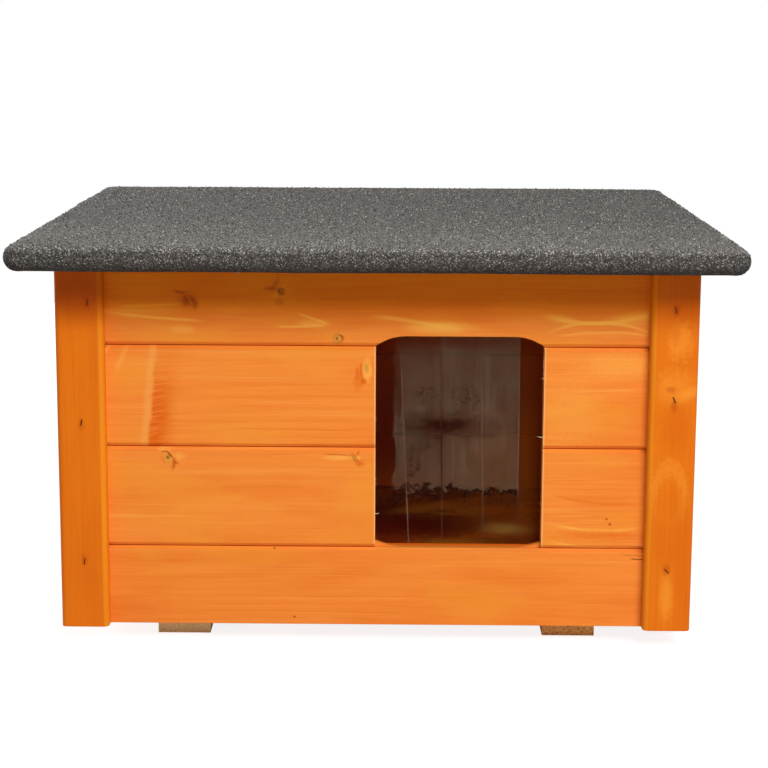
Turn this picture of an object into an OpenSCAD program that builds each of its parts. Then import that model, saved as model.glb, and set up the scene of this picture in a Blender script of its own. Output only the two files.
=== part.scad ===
// Outdoor cat house: a boarded pine box on two skids, with a felted roof that lifts on
// hinges at the back, and a doorway closed by a clear curtain slit into strips.
// X runs to the right, Y to the back and Z up. The origin is on the ground, under the
// middle of the roof. All sizes are in millimetres.

/* [Body] */
// Width over the side trims
body_w = 553; // [500:1:700]
// Depth over the front and back trims
body_d = 470; // [400:1:600]
// Height of the front wall
wall_h = 323; // [290:1:390]

/* [Boards] */
// Thickness of a wall board
board_t = 16; // [14:0.5:20]
// Height that the bottom board covers
bottom_cover = 71; // [45:1:100]
// Height that the top board covers on the front
top_cover = 72; // [62:1:110]
// Bevel along the outer edges of a joint
bevel = 3; // [1.5:0.5:4.5]
// Open line between two boards
board_gap = 0.8; // [0.4:0.1:1.5]
// Thickness of the tongue
tongue_t = 5; // [3:0.5:6]
// Height of the tongue
tongue_h = 7; // [5:0.5:9]

/* [Trim] */
// Width of a corner trim
trim_w = 41.5; // [34:0.5:60]
// Thickness of a corner trim
trim_t = 12; // [9:0.5:16]
// Rounding of the trim's long edges
trim_round = 5; // [1:0.5:7]

/* [Doorway] */
// Width of the doorway
door_w = 146; // [120:1:165]
// Distance of the doorway from the right end of the body
door_edge = 131.5; // [120:0.5:170]
// Height that the doorway is cut into the top board
door_rise = 9; // [4:0.5:12]
// Width of the curve at each end of the doorway's head
head_curve_w = 26; // [12:1:40]
// Width of the curve at each end of the sill
sill_curve_w = 24; // [10:1:40]
// Height of the curve at each end of the sill
sill_curve_h = 5; // [2:0.5:6.5]

/* [Curtain] */
// Thickness of the curtain sheet
sheet_t = 2; // [1:0.5:3]
// Width of a slit between two strips
slit_w = 0.6; // [0.4:0.1:1.5]
// Lap of the sheet behind each side of the doorway
side_lap = 13; // [6:1:24]
// Distance of the sheet's middle to the right of the doorway's middle
sheet_shift = 2.5; // [-4:0.5:4]
// Lap of the strips behind the sill
sill_lap = 6; // [3:1:20]
// Height of the line where the strips bend, over the doorway's head
bend_rise = 3; // [2:0.5:8]
// Height of the clamp batten
clamp_h = 24; // [18:1:32]
// Thickness of the clamp batten
clamp_t = 12; // [8:1:16]

/* [Roof] */
// Overhang of the roof in front of the trims
front_overhang = 62; // [30:1:80]
// Overhang of the roof behind the trims
back_overhang = 32; // [31:1:45]
// Overhang of the roof at each side
side_overhang = 33; // [28:1:60]
// Thickness of the roof deck
deck_t = 16; // [12:1:20]
// Thickness of the felt
felt_t = 3; // [2:0.5:4]
// Radius of the roof's corners in plan
roof_corner_r = 18; // [16:1:40]
// Fall of the roof to the back, in degrees
roof_fall = 1; // [0:0.5:3]
// Reach of the felt's return inside the walls
felt_reach = 26; // [10:1:40]
// Width of a locating cleat
cleat_w = 20; // [16:1:28]
// Height of a locating cleat
cleat_h = 22; // [16:1:30]

/* [Base] */
// Width of a skid
skid_w = 47; // [36:1:70]
// Height of a skid
skid_h = 19; // [14:1:40]
// Distance of a skid's middle from the end of the body
skid_inset = 103.5; // [76:0.5:136]
// Setback of the skids' ends from the boards' faces
skid_setback = 29; // [10:1:60]
// Thickness of the floor panel
floor_t = 12; // [9:1:18]

/* [Inner frame] */
// Side of a square corner post
post_side = 28; // [22:1:36]
// Width of a doorway batten
jamb_w = 26; // [20:1:32]
// Thickness of a doorway batten
jamb_t = 16; // [12:1:24]
// Height of the hinge rail
rail_h = 44; // [36:1:70]

/* [Hinges] */
// Distance of a hinge's middle from the end of the body
hinge_inset = 106.5; // [91:0.5:156]
// Length of a hinge
hinge_l = 50; // [40:1:70]
// Width of a hinge leaf
leaf_w = 13; // [10:0.5:13.5]
// Thickness of a hinge leaf
leaf_t = 1.5; // [1:0.1:1.8]
// Distance between a leaf's screws
leaf_screw_pitch = 30; // [16:1:32]
// Outer diameter of the knuckles
knuckle_d = 6; // [5:0.5:7]
// Diameter of the hinge pin
pin_d = 3; // [2:0.5:3.5]

/* [Fasteners] */
// Shank diameter of the screws
screw_d = 3; // [2.5:0.1:4]
// Head diameter of the screws
screw_head_d = 6; // [5.5:0.1:7]
// Length of the hinge screws
hinge_screw_l = 10; // [7:0.5:12]
// Length of the curtain's screws
clamp_screw_l = 24; // [20:1:27]
// Length of the floor screws
floor_screw_l = 25; // [18:1:30]
// Distance between the floor screws
floor_screw_pitch = 135; // [60:1:140]
// Length of the cleats' screws
cleat_screw_l = 36; // [30:1:40]
// Distance between the cleats' screws
cleat_screw_pitch = 110; // [60:1:115]
// Outer length of a staple's crown
staple_crown = 5.6; // [4:0.1:8]
// Thickness of the staple wire
staple_wire = 1.1; // [0.8:0.1:1.5]
// Length of a staple's legs
staple_leg = 17; // [14:1:22]
// Depth of a staple's crown under the face
staple_sink = 0.9; // [0.4:0.1:1.5]
// Head diameter of a clout nail
nail_head_d = 8; // [6:0.5:9]
// Shank diameter of a clout nail
nail_d = 2.4; // [2:0.1:3]
// Thickness of a clout nail's head
nail_head_t = 1; // [0.8:0.1:1.5]
// Length of a clout nail
nail_l = 12; // [9:1:15]
// Widest distance between two clout nails
nail_pitch = 80; // [50:1:150]
// Distance of the clout nails from the roof's edge
nail_inset = 22; // [19:0.5:24]

/* [Clearances] */
// Gap between the roof and the walls
seat_gap = 0.2; // [0.1:0.1:0.8]
// Gap around a tongue in its groove
tongue_gap = 0.3; // [0.2:0.1:0.6]
// Gap around the floor and under the posts' tops
wood_gap = 0.3; // [0.2:0.1:0.9]
// Gap between a cleat and the wall
cleat_gap = 2; // [1:0.5:4]
// Gap at the ends of a cleat
cleat_end_gap = 8; // [5:1:20]
// Gap between the curtain sheet and a doorway batten
sheet_gap = 3; // [1:0.5:8]
// Gap between the bending strips and what is near their top
strip_gap = 0.4; // [0.3:0.1:1]
// Gap between the felt and the deck
felt_gap = 0.1; // [0.05:0.05:0.3]
// Radial gap around the hinge pin
pin_gap = 0.06; // [0.03:0.01:0.1]
// Gap around and between the knuckles
knuckle_gap = 0.3; // [0.2:0.1:0.6]
// Gap around a fastener in its hole
fastener_gap = 0.05; // [0.02:0.01:0.1]

/* [Hidden] */

$fn = 48;
// All rows of boards, and those between the bottom and the top row
ROWS = 4;
MIDDLE_ROWS = 2;
STRIPS = 5;
LEFT = -1;
RIGHT = 1;
// Reach of a cutting shape past the face that it cuts
over = 1;
KNUCKLES = 5;
// Screws in each skid, in each cleat and in each hinge leaf
SKID_SCREWS = 3;
CLEAT_SCREWS = 3;
LEAF_SCREWS = 2;
// Rows that hold a trim's staples, and for each row the staple's height as a share of the row,
// its shift across the trim and its lean, by hand and so not the same on a wall's two sides
STAPLE_ROWS = [1, ROWS - 1, ROWS];
LEFT_STAPLES = [[0.84, 0.5, 6], [0.26, 0.5, 9], [0.54, 8, 0]];
RIGHT_STAPLES = [[0.77, -1.5, -48], [0.52, 0.5, -24], [0.49, -0.5, -14]];

stain = [0.88, 0.43, 0.10];
stain_light = [0.93, 0.50, 0.16];
raw_wood = [0.72, 0.52, 0.32];
felt_grey = [0.33, 0.32, 0.31];
clear_sheet = [0.75, 0.80, 0.82, 0.5];
steel = [0.70, 0.71, 0.73];

roof_w = body_w + 2 * side_overhang;
roof_d = body_d + front_overhang + back_overhang;
roof_t = deck_t + 2 * (felt_t + felt_gap);
tilt = tan(roof_fall);

wall_z = skid_h;
// The lowest of the middle rows, which stands beside the sill
sill_row = ROWS - MIDDLE_ROWS;
board_cover = (wall_h - bottom_cover - top_cover) / MIDDLE_ROWS;
floor_z = wall_z + floor_t;

front_y = -roof_d / 2 + front_overhang;
front_face_y = front_y + trim_t;
front_in_y = front_face_y + board_t;
back_y = front_y + body_d;
back_face_y = back_y - trim_t;
back_in_y = back_face_y - board_t;
side_x = body_w / 2;
side_face_x = side_x - trim_t;
side_in_x = side_face_x - board_t;

roof_mid_z = wall_z + wall_h + (roof_t / 2 + seat_gap) / cos(roof_fall) + front_face_y * tilt;
felt_return = max(front_overhang, back_overhang, side_overhang) + trim_t + board_t + felt_reach;

tongue_in = (board_t - tongue_t) / 2;
door_x = side_x - door_edge - door_w / 2;
sill_z = row_z(sill_row) - board_gap;
head_z = row_z(ROWS) + door_rise;
door_h = head_z - sill_z;

sheet_w = door_w + 2 * side_lap;
sheet_x = door_x + sheet_shift;
strip_w = (sheet_w - (STRIPS - 1) * slit_w) / STRIPS;
bend_z = head_z + bend_rise;
bend_y = front_in_y + strip_gap + sheet_t / 2;
clamp_z = bend_z + sheet_t / 2 + strip_gap;
clamp_y = front_in_y + sheet_t;

skid_x = side_x - skid_inset;

knuckle_off = knuckle_d / 2 + knuckle_gap;
hinge_x = side_x - hinge_inset;
hinge_y = back_y + knuckle_off;
hinge_z = roof_under_z(hinge_y) - knuckle_off / cos(roof_fall);
knuckle_pitch = hinge_l / KNUCKLES;

// Height of the underside of row i, counted from 1 at the bottom
function row_z(i) = wall_z + (i < sill_row ? 0 : bottom_cover + (i - sill_row) * board_cover);

// Height of the roof's underside at a distance y from the middle
function roof_under_z(y) = roof_mid_z - roof_t / 2 / cos(roof_fall) - y * tilt;

// Radius of the arc that falls by h over the width w from a level start
function arc_radius(w, h) = (w * w + h * h) / (2 * h);

// Places of n points in a row about zero
function row_places(n, pitch) = [for (i = [0 : n - 1]) pitch * (i - (n - 1) / 2)];

// Places along a length about zero, at even distances up to the widest
function even_places(length, widest) =
    let (gaps = ceil(length / widest))
        row_places(gaps + 1, length / gaps);

// Places in the roof's own frame, which falls to the back
module in_roof_frame() {
    translate([0, 0, roof_mid_z])
        rotate([-roof_fall, 0, 0])
            children();
}

// Cuts off what reaches into the roof
module under_roof() {
    difference() {
        children();
        in_roof_frame()
            translate([-roof_w, -roof_d, -roof_t / 2 - seat_gap])
                cube([2 * roof_w, 2 * roof_d, roof_d]);
    }
}

// Fasteners, each along -Z from its head's top at zero

module screw(length) {
    screw_shape(length, screw_d, screw_head_d);
}

module screw_hole(length) {
    screw_shape(length + fastener_gap, screw_d + 2 * fastener_gap, screw_head_d + 2 * fastener_gap);
    cylinder(h = over, d = screw_head_d + 2 * fastener_gap);
}

module screw_shape(length, shank_d, head_d) {
    head_h = (head_d - shank_d) / 2;
    translate([0, 0, -head_h])
        cylinder(h = head_h, d1 = shank_d, d2 = head_d);
    translate([0, 0, -length])
        cylinder(h = length - head_h / 2, d = shank_d);
}

// A nail's head lies on the face, and its shank goes in from there
module nail() {
    cylinder(h = nail_head_t, d = nail_head_d);
    translate([0, 0, -nail_l])
        cylinder(h = nail_l + nail_head_t / 2, d = nail_d);
}

module nail_hole() {
    translate([0, 0, -nail_l - fastener_gap])
        cylinder(h = nail_l + fastener_gap + over, d = nail_d + 2 * fastener_gap);
}

// Staple with its crown upright, driven along +Y from a face at zero
module staple() {
    translate([-staple_wire / 2, staple_sink, -staple_crown / 2])
        cube([staple_wire, staple_wire, staple_crown]);
    for (z = [-staple_crown / 2, staple_crown / 2 - staple_wire])
        translate([-staple_wire / 2, staple_sink, z])
            cube([staple_wire, staple_leg, staple_wire]);
}

module staple_slot() {
    wide = staple_wire + 2 * fastener_gap;
    tall = staple_crown + 2 * fastener_gap;
    translate([-wide / 2, -over, -tall / 2])
        cube([wide, over + staple_sink + staple_wire + fastener_gap, tall]);
    for (z = [-tall / 2, tall / 2 - wide])
        translate([-wide / 2, 0, z])
            cube([wide, staple_sink + staple_leg + fastener_gap, wide]);
}

// Walls: each is drawn as a front, with its outer face at y = 0, and then placed

module at_front() {
    translate([0, front_face_y, 0])
        children();
}

module at_back() {
    translate([0, back_face_y, 0])
        rotate(180)
            children();
}

// The side walls stand on the middle of the body's depth
module at_side(side) {
    translate([side * side_face_x, (front_face_y + back_face_y) / 2, 0])
        rotate(side * 90)
            children();
}

// Section of a tongue-and-groove board: depth along X, height along Y
module board_section(height, tongue, groove) {
    top_bevel = tongue ? bevel : 0;
    low_bevel = groove ? bevel : 0;
    difference() {
        union() {
            polygon([
                [low_bevel, 0], [board_t, 0], [board_t, height], [top_bevel, height],
                [0, height - top_bevel], [0, low_bevel]
            ]);
            if (tongue)
                translate([tongue_in, height - over])
                    square([tongue_t, tongue_h + over]);
        }
        if (groove)
            translate([tongue_in - tongue_gap, -over])
                square([tongue_t + 2 * tongue_gap, over + tongue_h - board_gap + tongue_gap]);
    }
}

// One board of row i from x0 to x1, cut under the roof and slotted for the staples
module wall_board(i, x0, x1, trim_x) {
    top = i == ROWS;
    height = top ? top_cover + trim_t : row_z(i + 1) - row_z(i) - board_gap;
    difference() {
        translate([x0, 0, row_z(i)])
            rotate([90, 0, 90])
                linear_extrude(x1 - x0)
                    board_section(height, !top, i > 1);
        translate([0, -trim_t, 0])
            at_staples(trim_x)
                staple_slot();
    }
}

// Staples of a wall's two trims, whose middles are at trim_x on each side
module at_staples(trim_x) {
    covers = [bottom_cover, board_cover, top_cover];
    for (side = [LEFT, RIGHT])
        for (i = [0:len(STAPLE_ROWS) - 1]) {
            driven = side == LEFT ? LEFT_STAPLES[i] : RIGHT_STAPLES[i];
            translate([side * trim_x + driven[1], 0, row_z(STAPLE_ROWS[i]) + driven[0] * covers[i]])
                rotate([0, driven[2], 0])
                    children();
        }
}

// Middles of the trims, from the middle of their wall
end_trim_x = side_x - trim_w / 2;
side_trim_x = (back_face_y - front_face_y) / 2 - trim_w / 2;
side_len = back_in_y - front_in_y;

module doorway_outline() {
    head_r = arc_radius(head_curve_w, door_rise);
    sill_r = arc_radius(sill_curve_w, sill_curve_h);
    difference() {
        translate([-door_w / 2, 0])
            square([door_w, door_h]);
        for (side = [0, 1])
            mirror([side, 0]) {
                difference() {
                    translate([door_w / 2 - head_curve_w, door_h - door_rise])
                        square([head_curve_w + over, door_rise + over]);
                    translate([door_w / 2 - head_curve_w, door_h - head_r])
                        circle(head_r);
                }
                difference() {
                    translate([door_w / 2 - sill_curve_w, -over])
                        square([sill_curve_w + over, sill_curve_h + over]);
                    translate([door_w / 2 - sill_curve_w, sill_r])
                        circle(sill_r);
                }
            }
    }
}

module doorway() {
    translate([door_x, board_t + over, sill_z])
        rotate([90, 0, 0])
            linear_extrude(board_t + 2 * over)
                doorway_outline();
}

// Front board of row i between x0 and x1
module front_board(i, x0 = -side_face_x, x1 = side_face_x) {
    color(i % 2 == 0 ? stain : stain_light)
        under_roof()
            difference() {
                at_front()
                    difference() {
                        wall_board(i, x0, x1, end_trim_x);
                        if (i == 1 || i == ROWS)
                            doorway();
                    }
                if (i == ROWS)
                    at_clamp_screws()
                        screw_hole(clamp_screw_l);
            }
}

module front_board_left(i) {
    front_board(i, x1 = door_x - door_w / 2);
}

module front_board_right(i) {
    front_board(i, x0 = door_x + door_w / 2);
}

module back_board(i) {
    color(i % 2 == 0 ? stain : stain_light)
        under_roof()
            at_back()
                wall_board(i, -side_face_x, side_face_x, end_trim_x);
}

module side_board(side, i) {
    color(i % 2 == 0 ? stain : stain_light)
        under_roof()
            at_side(side)
                wall_board(i, -side_len / 2, side_len / 2, side_trim_x);
}

// Corner trims

// Upright trim centred on x = 0, with its back at y = 0
module trim() {
    straight = trim_w - 2 * trim_round;
    translate([0, 0, wall_z])
        linear_extrude(wall_h + trim_t) {
            translate([-straight / 2, -trim_t])
                square([straight, trim_t]);
            translate([-trim_w / 2, -trim_t + trim_round])
                square([trim_w, trim_t - trim_round]);
            for (side = [LEFT, RIGHT])
                translate([side * straight / 2, -trim_t + trim_round])
                    circle(trim_round);
        }
}

module slotted_trim(side, trim_x) {
    color(stain)
        difference() {
            translate([side * trim_x, 0, 0])
                trim();
            translate([0, -trim_t, 0])
                at_staples(trim_x)
                    staple_slot();
        }
}

module front_trim(side) {
    under_roof()
        at_front()
            slotted_trim(side, end_trim_x);
}

module back_trim(side) {
    under_roof()
        at_back()
            slotted_trim(-side, end_trim_x);
}

module side_trim(side, end) {
    under_roof()
        at_side(side)
            slotted_trim(side * end, side_trim_x);
}

module trim_staples() {
    color(steel) {
        at_front()
            translate([0, -trim_t, 0])
                at_staples(end_trim_x)
                    staple();
        at_back()
            translate([0, -trim_t, 0])
                at_staples(end_trim_x)
                    staple();
        for (side = [LEFT, RIGHT])
            at_side(side)
                translate([0, -trim_t, 0])
                    at_staples(side_trim_x)
                        staple();
    }
}

// Base

module at_floor_screws() {
    for (side = [LEFT, RIGHT])
        for (y = row_places(SKID_SCREWS, floor_screw_pitch))
            translate([side * skid_x, (front_face_y + back_face_y) / 2 + y, floor_z])
                children();
}

module skid(side) {
    y0 = front_face_y + skid_setback;
    y1 = back_face_y - skid_setback;
    color(raw_wood)
        difference() {
            translate([side * skid_x - skid_w / 2, y0, 0])
                cube([skid_w, y1 - y0, skid_h]);
            at_floor_screws()
                screw_hole(floor_screw_l);
        }
}

module floor_panel() {
    w = 2 * (side_in_x - wood_gap);
    d = side_len - 2 * wood_gap;
    color(raw_wood)
        difference() {
            translate([-w / 2, front_in_y + wood_gap, wall_z])
                cube([w, d, floor_t]);
            at_floor_screws()
                screw_hole(floor_screw_l);
        }
}

module floor_screws() {
    color(steel)
        at_floor_screws()
            screw(floor_screw_l);
}

// Inner frame

// Upright batten of a given section, from the floor to the roof
module upright(x, y, w, d) {
    color(raw_wood)
        under_roof()
            translate([x, y, floor_z])
                cube([w, d, wall_h]);
}

module corner_post(side, y) {
    x = side * (side_in_x - post_side / 2) - post_side / 2;
    upright(x, y, post_side, post_side);
}

module door_batten(side) {
    x = sheet_x + side * (sheet_w / 2 + sheet_gap + jamb_w / 2) - jamb_w / 2;
    upright(x, front_in_y, jamb_w, jamb_t);
}

// Curtain

module at_clamp_screws() {
    for (x = row_places(STRIPS - 1, strip_w + slit_w))
        translate([sheet_x + x, clamp_y + clamp_t, clamp_z + clamp_h / 2])
            rotate([-90, 0, 0])
                children();
}

module clamp_batten() {
    color(raw_wood)
        difference() {
            translate([sheet_x - sheet_w / 2, clamp_y, clamp_z])
                cube([sheet_w, clamp_t, clamp_h]);
            at_clamp_screws()
                screw_hole(clamp_screw_l);
        }
}

module clamp_screws() {
    color(steel)
        at_clamp_screws()
            screw(clamp_screw_l);
}

// The uncut band of the sheet, held between the batten and the top board
module curtain_header() {
    color(clear_sheet)
        difference() {
            translate([sheet_x - sheet_w / 2, front_in_y, clamp_z])
                cube([sheet_w, sheet_t, clamp_h]);
            at_clamp_screws()
                screw_hole(clamp_screw_l);
        }
}

// Strip i hangs from the bend line, which its rounded top edge turns about
module curtain_strip(i) {
    x0 = sheet_x - sheet_w / 2 + (i - 1) * (strip_w + slit_w);
    z0 = sill_z - sill_lap;
    color(clear_sheet)
        translate([x0, bend_y, bend_z])
            rotate([90, 0, 90])
                linear_extrude(strip_w) {
                    translate([-sheet_t / 2, z0 - bend_z])
                        square([sheet_t, bend_z - z0]);
                    circle(d = sheet_t);
                }
}

// Hinges: each leaf is drawn as the wall's leaf, with the pin's middle at the origin

module at_hinges() {
    for (side = [LEFT, RIGHT])
        translate([side * hinge_x, hinge_y, hinge_z])
            children();
}

// Turns the wall's leaf into the roof's leaf
module as_roof_leaf() {
    rotate([-roof_fall, 0, 0])
        mirror([0, 1, 1])
            children();
}

module leaf(first) {
    difference() {
        union() {
            translate([-hinge_l / 2, -knuckle_off, -knuckle_off - leaf_w])
                cube([hinge_l, leaf_t, leaf_w]);
            for (i = [first : 2 : KNUCKLES - 1])
                translate([-hinge_l / 2 + i * knuckle_pitch + knuckle_gap / 2, 0, 0]) {
                    translate([0, -knuckle_off, -knuckle_off - over])
                        cube([knuckle_pitch - knuckle_gap, leaf_t, knuckle_off + over]);
                    rotate([0, 90, 0])
                        cylinder(h = knuckle_pitch - knuckle_gap, d = knuckle_d);
                }
        }
        translate([-hinge_l, 0, 0])
            rotate([0, 90, 0])
                cylinder(h = 2 * hinge_l, d = pin_d + 2 * pin_gap);
        at_leaf_screws()
            screw_hole(hinge_screw_l);
    }
}

module at_leaf_screws() {
    for (x = row_places(LEAF_SCREWS, leaf_screw_pitch))
        translate([x, leaf_t - knuckle_off, -knuckle_off - leaf_w / 2])
            rotate([-90, 0, 0])
                children();
}

module hinge_wall_leaves() {
    color(steel)
        at_hinges()
            leaf(0);
}

module hinge_roof_leaves() {
    color(steel)
        at_hinges()
            as_roof_leaf()
                leaf(1);
}

module hinge_pins() {
    color(steel)
        at_hinges()
            rotate([0, 90, 0])
                cylinder(h = hinge_l, d = pin_d, center = true);
}

module hinge_wall_screws() {
    color(steel)
        at_hinges()
            at_leaf_screws()
                screw(hinge_screw_l);
}

module hinge_roof_screws() {
    color(steel)
        at_hinges()
            as_roof_leaf()
                at_leaf_screws()
                    screw(hinge_screw_l);
}

// Rail between the back trims, which carries the hinges
module hinge_rail() {
    half = side_x - trim_w - wood_gap;
    color(stain)
        under_roof()
            difference() {
                translate([-half, back_face_y, roof_under_z(back_y) - rail_h])
                    cube([2 * half, trim_t, rail_h + trim_t]);
                at_hinges()
                    at_leaf_screws()
                        screw_hole(hinge_screw_l);
            }
}

// Roof

// Panel with fully rounded edges and corners rounded in plan, centred on the origin
module slab(w, d, t, corner_r) {
    edge_r = t / 2;
    flat = corner_r - edge_r;
    long = d - 2 * corner_r;
    rotate([90, 0, 90])
        linear_extrude(w - 2 * corner_r, center = true) {
            square([d - t, t], center = true);
            for (end = [LEFT, RIGHT])
                translate([end * (d - t) / 2, 0])
                    circle(edge_r);
        }
    for (side = [LEFT, RIGHT])
        translate([side * (w / 2 - corner_r), 0, 0])
            rotate(side == RIGHT ? 0 : 180) {
                translate([0, long / 2, 0])
                    rotate([90, 0, 0])
                        linear_extrude(long)
                            slab_edge(flat, edge_r);
                translate([0, long / 2, 0])
                    rotate_extrude(angle = 90)
                        slab_edge(flat, edge_r);
                translate([0, -long / 2, 0])
                    rotate(-90)
                        rotate_extrude(angle = 90)
                            slab_edge(flat, edge_r);
            }
}

// Half section of the slab's edge, from x = 0 outwards
module slab_edge(flat, edge_r) {
    translate([0, -edge_r])
        square([flat, 2 * edge_r]);
    intersection() {
        translate([flat, 0])
            circle(edge_r);
        translate([flat, -edge_r])
            square([edge_r, 2 * edge_r]);
    }
}

module at_felt_nails() {
    edge_x = roof_w / 2 - nail_inset;
    edge_y = roof_d / 2 - nail_inset;
    outer_x = (hinge_x + hinge_l / 2 + roof_w / 2 - roof_t / 2) / 2;
    inner_x = hinge_x / 2;
    places = concat(
        [for (x = even_places(2 * (edge_x - roof_corner_r), nail_pitch)) [x, -edge_y]],
        [for (x = [-outer_x, -inner_x, 0, inner_x, outer_x]) [x, edge_y]],
        [for (side = [LEFT, RIGHT])
            for (y = even_places(2 * (edge_y - roof_corner_r - nail_inset), nail_pitch))
                [side * edge_x, y]]
    );
    in_roof_frame()
        for (place = places)
            translate([place[0], place[1], -roof_t / 2])
                rotate([180, 0, 0])
                    children();
}

module at_cleat_screws() {
    x = side_in_x - cleat_gap - cleat_w / 2;
    middle = (front_in_y + back_in_y) / 2;
    in_roof_frame()
        for (side = [LEFT, RIGHT])
            for (y = row_places(CLEAT_SCREWS, cleat_screw_pitch))
                translate([side * x, middle + y, -roof_t / 2 - cleat_h])
                    rotate([180, 0, 0])
                        children();
}

// Holes that the roof's fasteners make in the deck and the felt
module roof_holes() {
    at_felt_nails()
        nail_hole();
    at_cleat_screws()
        screw_hole(cleat_screw_l);
    at_hinges()
        as_roof_leaf()
            at_leaf_screws()
                screw_hole(hinge_screw_l);
}

module roof_deck() {
    inset = felt_t + felt_gap;
    color(raw_wood)
        difference() {
            in_roof_frame()
                slab(roof_w - 2 * inset, roof_d - 2 * inset, deck_t, roof_corner_r - inset);
            roof_holes();
        }
}

// The felt goes over the top, round the edges and back under the walls
module roof_felt() {
    color(felt_grey)
        difference() {
            in_roof_frame()
                difference() {
                    slab(roof_w, roof_d, roof_t, roof_corner_r);
                    slab(roof_w - 2 * felt_t, roof_d - 2 * felt_t, deck_t + 2 * felt_gap,
                        roof_corner_r - felt_t);
                    translate([felt_return - roof_w / 2, felt_return - roof_d / 2, -roof_t])
                        cube([roof_w - 2 * felt_return, roof_d - 2 * felt_return, roof_t]);
                }
            roof_holes();
        }
}

module felt_nails() {
    color(steel)
        at_felt_nails()
            nail();
}

module roof_cleat(side) {
    y0 = front_in_y + post_side + cleat_end_gap;
    y1 = back_in_y - post_side - cleat_end_gap;
    x = side * (side_in_x - cleat_gap - cleat_w / 2);
    color(raw_wood)
        difference() {
            in_roof_frame()
                translate([x - cleat_w / 2, y0, -roof_t / 2 - cleat_h])
                    cube([cleat_w, y1 - y0, cleat_h]);
            at_cleat_screws()
                screw_hole(cleat_screw_l);
        }
}

module cleat_screws() {
    color(steel)
        at_cleat_screws()
            screw(cleat_screw_l);
}

skid(LEFT);  // skid_left
skid(RIGHT);  // skid_right
floor_panel();
floor_screws();

front_board(1);  // front_board_1
front_board_left(2);  // front_board_2_left
front_board_right(2);  // front_board_2_right
front_board_left(3);  // front_board_3_left
front_board_right(3);  // front_board_3_right
front_board(4);  // front_board_4
for (i = [1 : ROWS]) {
    side_board(LEFT, i);
    side_board(RIGHT, i);
    back_board(i);
}

front_trim(LEFT);  // front_trim_left
front_trim(RIGHT);  // front_trim_right
back_trim(LEFT);  // back_trim_left
back_trim(RIGHT);  // back_trim_right
side_trim(LEFT, LEFT);  // side_trim_front_left
side_trim(RIGHT, LEFT);  // side_trim_front_right
side_trim(LEFT, RIGHT);  // side_trim_back_left
side_trim(RIGHT, RIGHT);  // side_trim_back_right
trim_staples();

corner_post(LEFT, front_in_y);  // post_front_left
corner_post(RIGHT, front_in_y);  // post_front_right
corner_post(LEFT, back_in_y - post_side);  // post_back_left
corner_post(RIGHT, back_in_y - post_side);  // post_back_right
door_batten(LEFT);  // door_batten_left
door_batten(RIGHT);  // door_batten_right

clamp_batten();
clamp_screws();
curtain_header();
for (i = [1 : STRIPS])
    curtain_strip(i);

hinge_rail();
hinge_wall_leaves();
hinge_wall_screws();
hinge_pins();
hinge_roof_leaves();
hinge_roof_screws();

roof_deck();
roof_felt();
felt_nails();
roof_cleat(LEFT);  // roof_cleat_left
roof_cleat(RIGHT);  // roof_cleat_right
cleat_screws();
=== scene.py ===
"""Looks of the outdoor cat house: stained pine boards, a felted roof and a clear slit curtain."""
import math
import random
from functools import reduce

import bmesh
import bpy
from mathutils import Matrix, Vector, noise


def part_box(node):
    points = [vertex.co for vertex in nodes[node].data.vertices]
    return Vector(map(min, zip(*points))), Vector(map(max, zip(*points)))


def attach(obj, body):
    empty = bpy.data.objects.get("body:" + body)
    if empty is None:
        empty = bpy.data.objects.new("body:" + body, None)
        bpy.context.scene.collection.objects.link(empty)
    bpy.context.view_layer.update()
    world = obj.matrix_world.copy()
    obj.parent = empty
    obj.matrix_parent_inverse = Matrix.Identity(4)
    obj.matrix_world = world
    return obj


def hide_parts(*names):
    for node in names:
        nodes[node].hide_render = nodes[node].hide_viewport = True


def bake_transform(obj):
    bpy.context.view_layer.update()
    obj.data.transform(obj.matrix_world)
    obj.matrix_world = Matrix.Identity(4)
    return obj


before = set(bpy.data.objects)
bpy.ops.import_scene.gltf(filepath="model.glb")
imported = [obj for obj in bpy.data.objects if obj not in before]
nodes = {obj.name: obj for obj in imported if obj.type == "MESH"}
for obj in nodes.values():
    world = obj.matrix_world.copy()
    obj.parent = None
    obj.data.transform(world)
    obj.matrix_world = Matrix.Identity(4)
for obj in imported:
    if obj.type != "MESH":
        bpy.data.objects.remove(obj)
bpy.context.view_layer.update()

MM = 0.001

# Camera, fitted to the edges of the house in the photo's 768 pixel frame
FRAME_PX = 768
FOCAL_PX = 1914.7
SHIFT_PX = 60
SENSOR_MM = 36
CAMERA_AT = (0.0185, -1.8321, 0.5807)
CAMERA_DOWN = math.radians(10.16)
CAMERA_RIGHT = math.radians(-0.441)
CAMERA_ROLL = math.radians(0.3)

# Lamps, by azimuth to the right of the front, elevation, power and size
KEY = (math.radians(24), math.radians(37), 57, (1.3, 0.9))
BACK_FILL = (math.radians(225), math.radians(12), 44, (1.4, 0.8))
LAMP_DISTANCE = 2.6
LAMP_AIM = (0, -0.2, 0.2)
AMBIENT = 0.2
WHITE = (1, 1, 1, 1)
# The studio floor: its half width, its albedo for bounced light, and its albedo and glow as seen
FLOOR_HALF = 1.6
FLOOR_PALE = (0.85, 0.85, 0.85, 1)
FLOOR_LIT = (0.36, 0.36, 0.36, 1)
FLOOR_GLOW = 0.86

# Roof, as the part has it
ROOF_FALL = math.radians(1)
ROOF_CORNER = 18 * MM
FELT_HALF_T = 11.1 * MM
FELT_HALF_D = 282 * MM
FELT_RETURN = 116 * MM
CORNER_STEPS, LONG_STEPS, SHORT_STEPS = 8, 72, 66
GRANULES = 20000
GRANULE_SIZE = (0.5 * MM, 1.0 * MM)
GRANULE_SUNK = 0.15 * MM

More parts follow.
